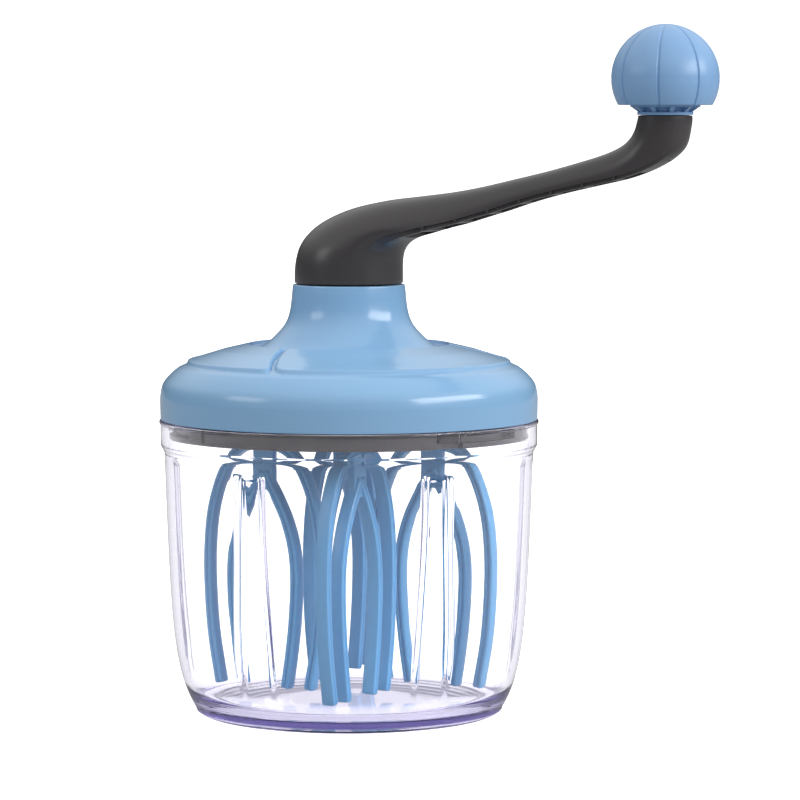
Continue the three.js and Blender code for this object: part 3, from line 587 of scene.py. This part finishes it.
def make_lock_ring():
    """The dark ring under the lid, cut by a slot and a track for each lug of the jar."""
    ring = turned("bayonet_ring", rounded([
        (LOCK_BORE, LOCK_BOTTOM_Z, 0.4), (LOCK_RADIUS, LOCK_BOTTOM_Z, 0.4), (LOCK_RADIUS, LOCK_TOP_Z, 0.3),
        (LOCK_SPIGOT_RADIUS, LOCK_TOP_Z, 0), (LOCK_SPIGOT_RADIUS, LOCK_SPIGOT_Z, 0.3),
        (LOCK_SPIGOT_BORE, LOCK_SPIGOT_Z, 0.3), (LOCK_SPIGOT_BORE, LOCK_TOP_Z, 0.4),
        (LOCK_BORE, LOCK_TOP_Z, 0.4)]), segments=240)

    def sector(name, start, end, low, high, depth):
        """A tool from the given radius outwards, between two angles and two heights."""
        count = max(2, math.ceil((end - start) / 1.5))
        sweep = [math.radians(start + (end - start) * k / count) for k in range(count + 1)]
        arc = [((LOCK_RADIUS + 2) * math.cos(a), (LOCK_RADIUS + 2) * math.sin(a)) for a in sweep]
        arc += [(depth * math.cos(a), depth * math.sin(a)) for a in reversed(sweep)]
        return block(name, arc, low, high, "z")

    # An entry slot and a track for each lug, and a shallow relief between two of them
    cuts = [("entry", -4.9, 4.9, LOCK_BOTTOM_Z - 1, LOCK_SLOT_TOP_Z, LOCK_SLOT_RADIUS),
            ("track", 4.8, 29.9, 93.7, LOCK_SLOT_TOP_Z, LOCK_SLOT_RADIUS),
            ("relief", -83.5, -52, 92.8, 96.6, LOCK_RADIUS - RELIEF_DEPTH)]
    tools = [sector(f"{kind}_{k}", angle + start, angle + end, low, high, depth)
             for k, angle in enumerate(LUG_ANGLES) for kind, start, end, low, high, depth in cuts]
    boolean(ring, tools)
    tidy(ring, 30)
    return finish_piece(ring, DARK, "lid", "dark_plastic", "lock_ring")


# ------------------------------------------------------------------ whisks

PRONG_RADIAL, PRONG_ACROSS = 3.1, 4.7


def prong_section():
    """A flat bar with rounded corners and a V groove down each side face, as (across, radial) points."""
    a, b = PRONG_ACROSS / 2, PRONG_RADIAL / 2
    half = [(a - 0.6, 0.0), (a - 0.05, 0.5), (a - 0.05, b - 0.5), (a - 0.3, b - 0.15), (a - 0.8, b),
            (0, b + 0.1)]
    side = half + [(-x, y) for x, y in reversed(half[:-1])]
    return side + [(x, -y) for x, y in reversed(side[1:-1])]


TIP_RINGS = [(0.35, 0.94), (0.6, 0.8), (0.72, 0.5)]  # how far past the path's end, and the section's scale
PRONG_STEPS = 46


def sweep(points, count, section, side):
    """Sweeps a section along a curve in the whisk's own plane. The tip is rounded off."""
    path = spline(points, count)
    rings = []

    def ring(u, z, along, scale):
        out = Vector((-along.y, along.x))
        rings.append([(side * (u + out.x * y * scale), x * scale, z + out.y * y * scale) for x, y in section])

    for i, (u, z) in enumerate(path):
        ahead, behind = path[min(i + 1, count - 1)], path[max(i - 1, 0)]
        ring(u, z, Vector((ahead[0] - behind[0], ahead[1] - behind[1])).normalized(), 1)
    along = (Vector(path[-1]) - Vector(path[-2])).normalized()
    for drop, scale in TIP_RINGS:
        ring(*(Vector(path[-1]) + along * drop), along, scale)
    return rings


# Paths of the prongs in the whisk's plane: distance from its axis, and height
OUTER_PRONG = [(0.5, 88.6), (3.2, 89.0), (8.6, 87.6), (13.0, 83.8), (17.2, 76.0), (20.2, 66.0), (21.5, 54.0),
               (21.5, 42.0), (20.3, 26.0), (17.4, 9.5)]
INNER_PRONG = [(0.4, 80.5), (1.9, 77.2), (5.0, 72.0), (8.8, 64.2), (11.4, 55.0), (12.2, 45.0), (11.6, 32.0),
               (10.2, 20.0), (8.5, 9.5)]
SHANK_HALF_WIDTH, SHANK_HALF_DEPTH, SHANK_BOTTOM_Z = 4, 1.5, 74.5


def make_whisk(index, centre):
    """A whisk: a flat shank with an outer and an inner pair of free prongs."""
    section = prong_section()
    across, deep = SHANK_HALF_WIDTH, SHANK_HALF_DEPTH
    shank = rounded([(-across, -deep, 0.7), (across, -deep, 0.7), (across, deep, 0.7), (-across, deep, 0.7)],
                    step=30)
    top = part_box(f"whisk_{index}")[1].z / MM
    whisk = block(f"whisk_blades_{index}", shank, SHANK_BOTTOM_Z, top, "z")
    prongs = []
    for points in (OUTER_PRONG, INNER_PRONG):
        for side in (1, -1):
            rings = sweep(points, PRONG_STEPS, section, side)
            prongs.append(new_object(f"prong_tool_{index}_{len(prongs)}", *skin(rings)))
    boolean(whisk, prongs, "UNION")
    turn = math.atan2(centre.y, centre.x) + math.radians(WHISK_TURN)
    place = Matrix.Translation(Vector((centre.x, centre.y, 0)) * MM)
    whisk.data.transform(place @ Matrix.Rotation(turn, 4, "Z"))
    tidy(whisk, 34)
    return finish_piece(whisk, WHISK_BLUE, f"beater_{index}", "whisk_plastic", f"whisk_{index}")


# ------------------------------------------------------------------ crank arm

# Stations up the arm: a point on the upper edge (x, z), one on the lower edge, half width,
# how far the round hub section has turned into the arm's dome section, height of the inset lower band
ARM_STATIONS = [
    ((-18.0, 146.0), (18.0, 146.0), 18.0, 0.0, 0.0),
    ((-17.6, 150.0), (18.05, 149.6), 17.8, 0.0, 0.0),
    ((-16.3, 154.6), (18.3, 152.4), 17.4, 0.06, 0.6),
    ((-13.6, 158.6), (18.9, 154.4), 16.8, 0.18, 2.0),
    ((-9.4, 162.2), (20.2, 156.2), 16.0, 0.36, 3.4),
    ((-3.4, 165.4), (22.4, 157.6), 15.0, 0.56, 3.6),
    ((4.0, 168.0), (26.0, 158.9), 13.8, 0.76, 2.8),
    ((14.7, 170.2), (31.6, 160.7), 12.2, 0.92, 2.1),
    ((26.0, 171.6), (39.0, 162.6), 10.6, 1.0, 1.6),
    ((37.0, 173.0), (46.5, 164.8), 9.4, 1.0, 1.4),
    ((47.0, 174.8), (54.0, 167.0), 8.6, 1.0, 1.3),
    ((58.8, 177.5), (64.0, 170.2), 8.0, 1.0, 1.3),
    ((69.8, 180.1), (74.5, 173.0), 7.6, 1.0, 1.3),
    ((81.8, 183.4), (86.5, 175.7), 7.4, 1.0, 1.3),
    ((89.4, 185.8), (96.5, 178.0), 7.5, 0.95, 1.3),
    ((94.6, 188.2), (105.5, 181.1), 7.9, 0.7, 1.2),
    ((97.6, 190.8), (112.0, 184.5), 8.3, 0.35, 0.9),
    ((99.2, 193.6), (116.0, 188.6), 8.6, 0.1, 0.4),
    ((100.0, 196.4), (117.5, 194.6), 8.75, 0.0, 0.0),
    ((100.25, 197.3), (117.75, 197.0), 8.75, 0.0, 0.0),
]
BAND_INSET = 1.0
DOME_POWER = 2.25
DOME_STEPS = 26
BAND_CORNERS = [(0.0, -40), (0.5, -46), (1.0, -52)]  # how far down the band, and the angle on the round hub
FLOOR_CORNERS = [(0.66, -64), (0.33, -77)]  # how far out along the flat underside, and that angle
HUB_RADIUS = 18.0
# Ring radii and heights at the hub's rounded bottom edge, above it, and at the arm end's rounded top edge
HUB_FOOT = [(17.0, 0), (17.6, 0.03), (17.9, 0.15), (HUB_RADIUS, 0.4), (HUB_RADIUS, 1.6)]
END_TOP = [(8.7, 0), (8.55, 0.16), (8.2, 0.2), (7.4, 0.3)]

ARM_RIBS = [30.4 + 10.6 * k for k in range(7)]
BAY_ENDS = 22.6, ARM_RIBS[-1] + 9.0  # where the first bay starts and the last one ends
RIB_HALF = 0.8  # from a rib's middle to the bay beside it
ARM_WALL = 1.5
BAY_TAPER = 0.72
BAY_ROOF = 3.6  # thickness left above a bay
SHAFT_HOLE, BOLT_HOLE, AXLE_HOLE = 5.15, 2.3, 2.8


def arm_ring(upper, lower, half_width, dome, band):
    """One closed section of the arm, in the plane through both edge points and the Y axis."""
    upper, lower = Vector(upper), Vector(lower)
    middle, reach = (upper + lower) / 2, (upper - lower) / 2
    height = 2 * reach.length
    crease = -1 + 2 * band / height
    inset = BAND_INSET * min(1, band / 1.2)
    side = []

    def corner(angle, y, v):
        """A point between the round hub's outline, at this angle, and the arm's own outline."""
        round_y, round_v = half_width * math.cos(math.radians(angle)), math.sin(math.radians(angle))
        side.append((round_y + (y - round_y) * dome, round_v + (v - round_v) * dome))

    for k in range(DOME_STEPS + 1):
        bow = math.radians(90 * (1 - k / DOME_STEPS))
        dome_y = half_width * max(math.cos(bow), 0) ** (2 / DOME_POWER)
        dome_v = crease + (1 - crease) * max(math.sin(bow), 0) ** (2 / DOME_POWER)
        corner(90 - 128 * k / DOME_STEPS, dome_y, dome_v)
    for part, angle in BAND_CORNERS:
        corner(angle, half_width - inset, crease + (-1 - crease) * part)
    for part, angle in FLOOR_CORNERS:
        corner(angle, (half_width - inset) * part, -1)
    side.append((0.0, -1.0))
    ring = [(middle.x + reach.x * v, y, middle.y + reach.y * v) for y, v in side]
    return ring + [(x, -y, z) for x, y, z in reversed(ring[1:-1])]


def make_arm():
    """The crank arm, hollowed from below between its ribs."""
    table = np.array([[*a, *b, w, d, h] for a, b, w, d, h in ARM_STATIONS])
    smooth = spline(table, 120)
    smooth[:, 5] = np.clip(smooth[:, 5], 0, 1)
    smooth[:, 6] = np.clip(smooth[:, 6], 0, None)

    def flat_rings(x, base, steps):
        """Round level rings about an upright line at x."""
        return [arm_ring((x - radius, base + rise), (x + radius, base + rise), radius, 0, 0)
                for radius, rise in steps]

    rings = flat_rings(0, ARM_BOTTOM_Z, HUB_FOOT)
    rings += [arm_ring(row[0:2], row[2:4], *row[4:7]) for row in smooth]
    rings += flat_rings(KNOB_X, ARM_END_Z, END_TOP)
    arm = new_object("crank_handle", *skin(rings), sharp_degrees=30)

    def top_z(x):
        return float(np.interp(x, smooth[:, 0], smooth[:, 1]))

    def bottom_z(x):
        return float(np.interp(x, smooth[:, 2], smooth[:, 3]))

    def half_width(x):
        return float(np.interp(x, smooth[:, 2], smooth[:, 4]))

    tools = []
    for k, (start, end) in enumerate(zip([BAY_ENDS[0]] + ARM_RIBS, ARM_RIBS + [BAY_ENDS[1]])):
        corners = []
        for x in (start + RIB_HALF, end - RIB_HALF):
            mouth = half_width(x) - BAND_INSET - ARM_WALL
            for half, z in ((mouth, bottom_z(x) - 6), (mouth * BAY_TAPER, top_z(x) - BAY_ROOF)):
                corners += [(x, -half, z), (x, half, z)]
        faces = [(0, 1, 3, 2), (4, 6, 7, 5), (0, 4, 5, 1), (2, 3, 7, 6), (0, 2, 6, 4), (1, 5, 7, 3)]
        tools.append(new_object(f"bay_{k}", corners, faces))
    shaft_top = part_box("drive_shaft")[1].z / MM
    bolt_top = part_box("drive_bolt")[1].z / MM
    axle_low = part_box("knob_axle")[0].z / MM
    tools += [block("shaft_tool", polygon(SHAFT_HOLE, 6), ARM_BOTTOM_Z - 2, shaft_top + GAP, "z"),
              block("bolt_tool", polygon(BOLT_HOLE, 24), shaft_top - 1, bolt_top + GAP, "z"),
              block("axle_tool", polygon(AXLE_HOLE, 24, (KNOB_X, 0)), axle_low - GAP, ARM_END_Z + 2, "z")]
    boolean(arm, tools)
    ribs = []
    for k, x in enumerate(ARM_RIBS):
        half = half_width(x)
        low = bottom_z(x)
        outline = [(x - 0.4, low + 0.05), (x + 0.4, low + 0.3), (x + 0.4, low + 1.7), (x - 0.4, low + 1.5)]
        ribs.append(block(f"rib_tool_{k}", outline, -(half - 0.15), half - 0.15, "y"))
    boolean(arm, ribs, "UNION")
    tidy(arm, 26)
    return finish_piece(arm, DARK, "crank", "dark_plastic", "crank_arm")


# ------------------------------------------------------------------ knob

KNOB_WALL = 2.3
KNOB_MOUTH = 13.2
GORE_ANGLES = [9.5 + 45 * k for k in range(8)]
GORE_DEPTH, SEAM_DEPTH, GORE_SWELL = 0.5, 0.12, 0.1
COLLAR_RIBS = [-60 + 36 * k for k in range(10)]
COLLAR_CORE = 7.7  # the radius between the ribs
AXLE_BORE = 4.3


def ball_arc(radius, latitudes):
    """Points of the knob's profile, by latitude in degrees."""
    return [(radius * math.cos(math.radians(a)), KNOB_CENTRE_Z + radius * math.sin(math.radians(a)))
            for a in latitudes]


def make_knob_cap():
    """The hollow ball, grooved between its gores, with a seam at the widest place."""
    cut_latitude = -math.degrees(math.asin((KNOB_CENTRE_Z - KNOB_CUT_Z) / KNOB_RADIUS))
    outer = ball_arc(KNOB_RADIUS, np.linspace(89.2, cut_latitude + 2.5, 60))
    inner = ball_arc(KNOB_RADIUS - KNOB_WALL, np.linspace(-22, 88, 22))
    edge = KNOB_RADIUS * math.cos(math.radians(cut_latitude))
    rim = rounded([outer[-1], (edge, KNOB_CUT_Z, 0.7), (KNOB_MOUTH, KNOB_CUT_Z, 0.3),
                   (KNOB_MOUTH, KNOB_CUT_Z + 2.2, 0.2), inner[0]], closed=False)
    outline = [*outer, *rim[1:], *inner[1:]]

    def shape(radius, height, degrees):
        on_ball = math.hypot(radius[0], height[0] - KNOB_CENTRE_Z) > KNOB_RADIUS - 0.12
        if not on_ball:
            return radius, height
        offset = away_from(GORE_ANGLES, degrees)
        across = offset * math.pi / 180 * np.maximum(radius, 0.3)
        depth = GORE_DEPTH * (1 - smoothstep(0.12, 0.62, across)) * smoothstep(0.4, 3.5, radius)
        seam = SEAM_DEPTH * np.exp(-((height - KNOB_CENTRE_Z + 0.2) / 0.28) ** 2)
        swell = -GORE_SWELL * (1 - smoothstep(0.6, 3.0, across))
        return radius - depth - seam + swell * smoothstep(2, 8, radius), height

    angles = fine_angles(GORE_ANGLES, 3.6, 0.55, 3.0)
    cap = turned("knob_ball", outline, angles=angles, shape=shape, centre=(KNOB_X, 0), closed=False)
    return finish_piece(cap, KNOB_BLUE, "knob", "knob_plastic", "knob_cap")


def make_knob_base():
    """The ribbed collar under the ball, with the plate and the bush that hold it."""
    low = BASE_LOW.z / MM
    high = BASE_HIGH.z / MM
    plate_top = KNOB_CUT_Z + 2
    outline = refined(rounded([
        (AXLE_BORE, low - 0.15, 0.2), (8.9, low - 0.15, 0.15), (9.0, low + 0.75, 0.2), (8.75, low + 0.9, 0),
        (10.75, low + 2.35, 0), (11.2, low + 2.45, 0.15), (11.2, KNOB_CUT_Z, 0.1),
        (12.8, KNOB_CUT_Z + 0.1, 0), (12.8, plate_top, 0.2), (7.6, plate_top, 0), (7.6, high, 0.2),
        (AXLE_BORE, high, 0.2)]), 0.3)

    def shape(radius, height, degrees):
        between_ribs = low + 0.85 < height[0] < low + 2.45 and radius[0] > 8
        if between_ribs:
            offset = away_from(COLLAR_RIBS, degrees)
            radius = radius - (radius - COLLAR_CORE) * smoothstep(4.0, 5.0, offset)
        return radius, height

    base = turned("knob_collar", outline, angles=fine_angles(COLLAR_RIBS, 6, 0.5, 3.0), shape=shape,
                  centre=(KNOB_X, 0))
    return finish_piece(base, KNOB_BLUE, "knob", "knob_plastic", "knob_base")


# ------------------------------------------------------------------ the object

make_jar()
make_lid()
make_neck()
make_lock_ring()
for beater, spot in BEATERS:
    make_whisk(beater, spot)
make_arm()
make_knob_cap()
make_knob_base()

# The pieces inside keep the CAD's own mesh
CARRIED = [
    (SILICONE, ["seal_ring"]),
    (NYLON, ["ring_gear", "upper_bush", "lower_bush", *[f"planet_gear_{i}" for i, _ in BEATERS]]),
    (CARRIER_GREY, ["carrier_plate", "carrier_cover"]),
    (STEEL, ["drive_shaft", "drive_bolt", "bolt_washer", "knob_axle", "knob_washer",
             *[f"gear_screw_{i}" for i in range(1, 4)],
             *[f"{kind}_{i}" for kind in ("carrier_screw", "spindle", "spindle_clip") for i, _ in BEATERS]]),
]
for material, names in CARRIED:
    for name in names:
        node = frame["nodes"][name]
        node.data.materials.clear()
        node.data.materials.append(material)

# ------------------------------------------------------------------ camera, floor and light

CAMERA_TURN = 22.0  # degrees that the camera stands round from the arm's side view
CAMERA_DISTANCE = 1.250
CAMERA_HEIGHT = 0.203
AIM_RIGHT, AIM_HEIGHT = 0.0169, 0.1038
LENS = 170.1

# Brightness of the surroundings, level with the object and overhead, and of the backdrop that is seen
WORLD_SIDES, WORLD_TOP, WORLD_BACK = 0.08, 1.0, 1.3
# The floor's own glow where it is seen, and where it only lights the object
FLOOR_GLOW, FLOOR_GLOW_AROUND = 0.85, 0.06
FLOOR_HALF, FLOOR_DROP = 6.0, 0.0004
EDGE_DARKNESS = 0.4  # how much darker the backdrop looks by a bounce inside the jar's wall
LIGHT_AIM = Vector((0, 0, 0.12))


def around(degrees, distance, height):
    """A point round the object, from the camera's side: 0 is the camera, 90 its right."""
    turn = math.radians(degrees + CAMERA_TURN - 90)
    return Vector((distance * math.cos(turn), distance * math.sin(turn), height))


def make_camera():
    data = bpy.data.cameras.new("camera")
    data.lens = LENS
    data.sensor_width = 36
    data.clip_end = 20
    camera = bpy.data.objects.new("camera", data)
    bpy.context.collection.objects.link(camera)
    camera.location = around(0, CAMERA_DISTANCE, CAMERA_HEIGHT)
    aim = around(90, AIM_RIGHT, AIM_HEIGHT)
    camera.rotation_euler = (aim - camera.location).to_track_quat("-Z", "Y").to_euler()
    bpy.context.scene.camera = camera


def seen_directly(tree):
    """1 for a ray that comes from the camera, straight or through the clear jar, less after a mirror-like
    bounce in the jar's wall, and 0 for a ray that left a matt surface or is a plain reflection."""
    path = add(tree, "ShaderNodeLightPath")

    def math_node(operation, first, second, clamp=False):
        node = add(tree, "ShaderNodeMath", operation=operation, use_clamp=clamp)
        for slot, value in enumerate((first, second)):
            if isinstance(value, float):
                node.inputs[slot].default_value = value
            else:
                tree.links.new(value, node.inputs[slot])
        return node.outputs["Value"]

    unscattered = math_node("SUBTRACT", 1.0, path.outputs["Diffuse Depth"], True)
    bounced = math_node("MINIMUM", path.outputs["Glossy Depth"], 1.0)
    kept = math_node("SUBTRACT", 1.0, math_node("MULTIPLY", bounced, EDGE_DARKNESS), True)
    clear = math_node("MULTIPLY", path.outputs["Is Transmission Ray"], unscattered)
    return math_node("MAXIMUM", path.outputs["Is Camera Ray"], math_node("MULTIPLY", clear, kept))


def soft_box(name, degrees, distance, height, width, tall, power):
    data = bpy.data.lights.new(name, "AREA")
    data.shape = "RECTANGLE"
    data.size, data.size_y = width, tall
    data.energy = power
    light = bpy.data.objects.new(name, data)
    bpy.context.collection.objects.link(light)
    light.location = around(degrees, distance, height)
    light.rotation_euler = (LIGHT_AIM - light.location).to_track_quat("-Z", "Y").to_euler()


def make_floor():
    mesh = bpy.data.meshes.new("floor")
    corners = [(FLOOR_HALF * x, FLOOR_HALF * y, 0) for x, y in ((-1, -1), (1, -1), (1, 1), (-1, 1))]
    mesh.from_pydata(corners, [], [(0, 1, 2, 3)])
    floor = bpy.data.objects.new("floor", mesh)
    bpy.context.collection.objects.link(floor)
    floor.location.z = -FLOOR_DROP
    material, tree, shader = shader_nodes("floor_white")
    ramp = add(tree, "ShaderNodeValToRGB")
    ramp.color_ramp.elements[0].color = (0.32, 0.32, 0.32, 1)
    ramp.color_ramp.elements[1].color = (0.94, 0.94, 0.94, 1)
    tree.links.new(seen_directly(tree), ramp.inputs["Fac"])
    tree.links.new(ramp.outputs["Color"], shader.inputs["Base Color"])
    glow = smooth_between(tree, seen_directly(tree), 0, 1, FLOOR_GLOW_AROUND, FLOOR_GLOW)
    tree.links.new(glow, shader.inputs["Emission Strength"])
    shader.inputs["Roughness"].default_value = 0.7
    shader.inputs["Specular IOR Level"].default_value = 0.1
    shader.inputs["Emission Color"].default_value = (1, 1, 1, 1)
    mesh.materials.append(material)


def make_world():
    world = bpy.data.worlds.new("studio")
    bpy.context.scene.world = world
    world.use_nodes = True
    tree = world.node_tree
    background = tree.nodes["Background"]
    coord = add(tree, "ShaderNodeTexCoord")
    parts = add(tree, "ShaderNodeSeparateXYZ")
    tree.links.new(coord.outputs["Generated"], parts.inputs["Vector"])
    overhead = smooth_between(tree, parts.outputs["Z"], 0.04, 0.6, WORLD_SIDES, WORLD_TOP)
    mix = add(tree, "ShaderNodeMix", data_type="FLOAT")
    tree.links.new(seen_directly(tree), mix.inputs["Factor"])
    tree.links.new(overhead, mix.inputs["A"])
    mix.inputs["B"].default_value = WORLD_BACK
    tree.links.new(mix.outputs["Result"], background.inputs["Strength"])
    background.inputs["Color"].default_value = (1, 1, 1, 1)


make_camera()
make_floor()
make_world()
soft_box("right_box", 65, 1.2, 0.6, 1.1, 0.36, 8.5)
soft_box("left_box", -66, 1.3, 0.6, 0.6, 0.3, 1.6)
bpy.context.scene.view_settings.view_transform = "Standard"
bpy.context.scene.cycles.max_bounces = 28
bpy.context.scene.cycles.glossy_bounces = 20
bpy.context.scene.cycles.transmission_bounces = 28
